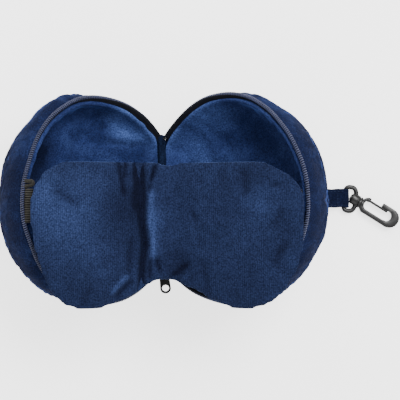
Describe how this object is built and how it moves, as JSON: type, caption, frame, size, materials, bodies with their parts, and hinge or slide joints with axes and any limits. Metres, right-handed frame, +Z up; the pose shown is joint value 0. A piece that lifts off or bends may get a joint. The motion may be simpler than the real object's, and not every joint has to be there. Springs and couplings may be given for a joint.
{
  "type": "u shaped neck pillow",
  "caption": "Padded ball that unzips into two joined half domes to cushion the neck, with an eye mask laid across them and a swivel snap hook on a loop.",
  "frame": {"origin": "middle of the overall bounding box in X and Y, at the surface it rests on", "axes": "+X across the two halves towards the hang loop and hook, +Y along the spine away from the zip's pull at rest, +Z up"},
  "size_m": [0.32, 0.164, 0.1376],
  "materials": {
    "cover_velour": "navy short-pile velour",
    "lining_velour": "navy short-pile velour",
    "mask_velour": "ribbed navy velour",
    "padding": "polyester fibre filling",
    "zip_tape": "woven black tape",
    "zip_coil": "nylon coil",
    "zip_metal": "black enamel",
    "elastic": "ribbed woven elastic",
    "hook_plastic": "moulded black acetal"
  },
  "bodies": {
    "right_half": {"right_outer_cover": "cover_velour", "right_filling": "padding", "right_lining": "lining_velour", "right_zip_tape": "zip_tape", "right_zip_coil": "zip_coil", "hang_loop": "cover_velour"},
    "left_half": {"left_outer_cover": "cover_velour", "left_filling": "padding", "left_lining": "lining_velour", "left_zip_tape": "zip_tape", "left_zip_coil": "zip_coil"},
    "spine": {"spine_binding": "cover_velour", "zip_bottom_stop": "zip_metal", "zip_top_stop": "zip_metal"},
    "zip_slider": {"zip_slider": "zip_metal"},
    "zip_pull": {"zip_pull": "zip_metal"},
    "mask_strap": {"mask_strap": "elastic"},
    "mask_bridge": {"mask_bridge": "mask_velour"},
    "mask_left": {"mask_left_front": "mask_velour", "mask_left_pad": "padding", "mask_left_back": "cover_velour"},
    "mask_right": {"mask_right_front": "mask_velour", "mask_right_pad": "padding", "mask_right_back": "cover_velour"},
    "hook_ring": {"hook_ring": "hook_plastic"},
    "hook_body": {"hook_body": "hook_plastic"},
    "hook_gate": {"hook_gate": "hook_plastic"}
  },
  "joints": [
    {"name": "left_fold", "type": "hinge", "parent": "right_half", "child": "left_half", "pos_m": [-0.0343, 0, 0.03441], "axis": [0, -1, 0], "range_deg": [-94, 0], "deforming": ["mask_strap", "mask_bridge", "mask_left_front", "mask_left_pad", "mask_left_back", "mask_right_front", "mask_right_pad", "mask_right_back"]},
    {"name": "spine_turn", "type": "hinge", "parent": "right_half", "child": "spine", "pos_m": [-0.0343, 0, 0.03441], "axis": [0, -1, 0], "range_deg": [-47, 0]},
    {"name": "zip_travel", "type": "hinge", "parent": "spine", "child": "zip_slider", "pos_m": [-0.0343, 0, 0.09686], "axis": [1, 0, 0], "range_deg": [-270, 0]},
    {"name": "pull_swing", "type": "hinge", "parent": "zip_slider", "child": "zip_pull", "pos_m": [-0.0343, -0.05993, 0.0363], "axis": [1, 0, 0], "range_deg": [-45, 95]},
    {"name": "mask_lift", "type": "slide", "parent": "spine", "child": "mask_strap", "axis": [0, 0, 1], "range_m": [0, 0.16]},
    {"name": "mask_tuck", "type": "slide", "parent": "mask_strap", "child": "mask_bridge", "axis": [-0.05, 0.3741, -0.926], "range_m": [0, 0.05399]},
    {"name": "mask_fold_left", "type": "hinge", "parent": "mask_bridge", "child": "mask_left", "pos_m": [-0.0396, 0, 0.10041], "axis": [0, 1, 0], "range_deg": [0, 68]},
    {"name": "mask_fold_right", "type": "hinge", "parent": "mask_bridge", "child": "mask_right", "pos_m": [-0.0236, 0, 0.10041], "axis": [0, -1, 0], "range_deg": [0, 68]},
    {"name": "ring_swing", "type": "hinge", "parent": "right_half", "child": "hook_ring", "pos_m": [0.1147, 0.0014, 0.0036], "axis": [-0.1219, -0.9925, 0], "range_deg": [-60, 100]},
    {"name": "hook_swivel", "type": "hinge", "parent": "hook_ring", "child": "hook_body", "pos_m": [0.12443, 0.00021, 0.0036], "axis": [0.848, -0.5299, 0], "continuous": true},
    {"name": "gate_press", "type": "hinge", "parent": "hook_body", "child": "hook_gate", "pos_m": [0.13543, -0.0003, 0.0036], "axis": [0, 0, 1], "range_deg": [-20, 0], "stiffness_Nm_per_rad": 0.02}
  ],
  "couplings": [
    {"joint": "spine_turn", "follows": "left_fold", "ratio": 0.5},
    {"joint": "mask_tuck", "follows": "left_fold", "m_per_rad": -0.03291},
    {"joint": "mask_fold_left", "follows": "left_fold", "ratio": -0.7234},
    {"joint": "mask_fold_right", "follows": "left_fold", "ratio": -0.7234}
  ]
}
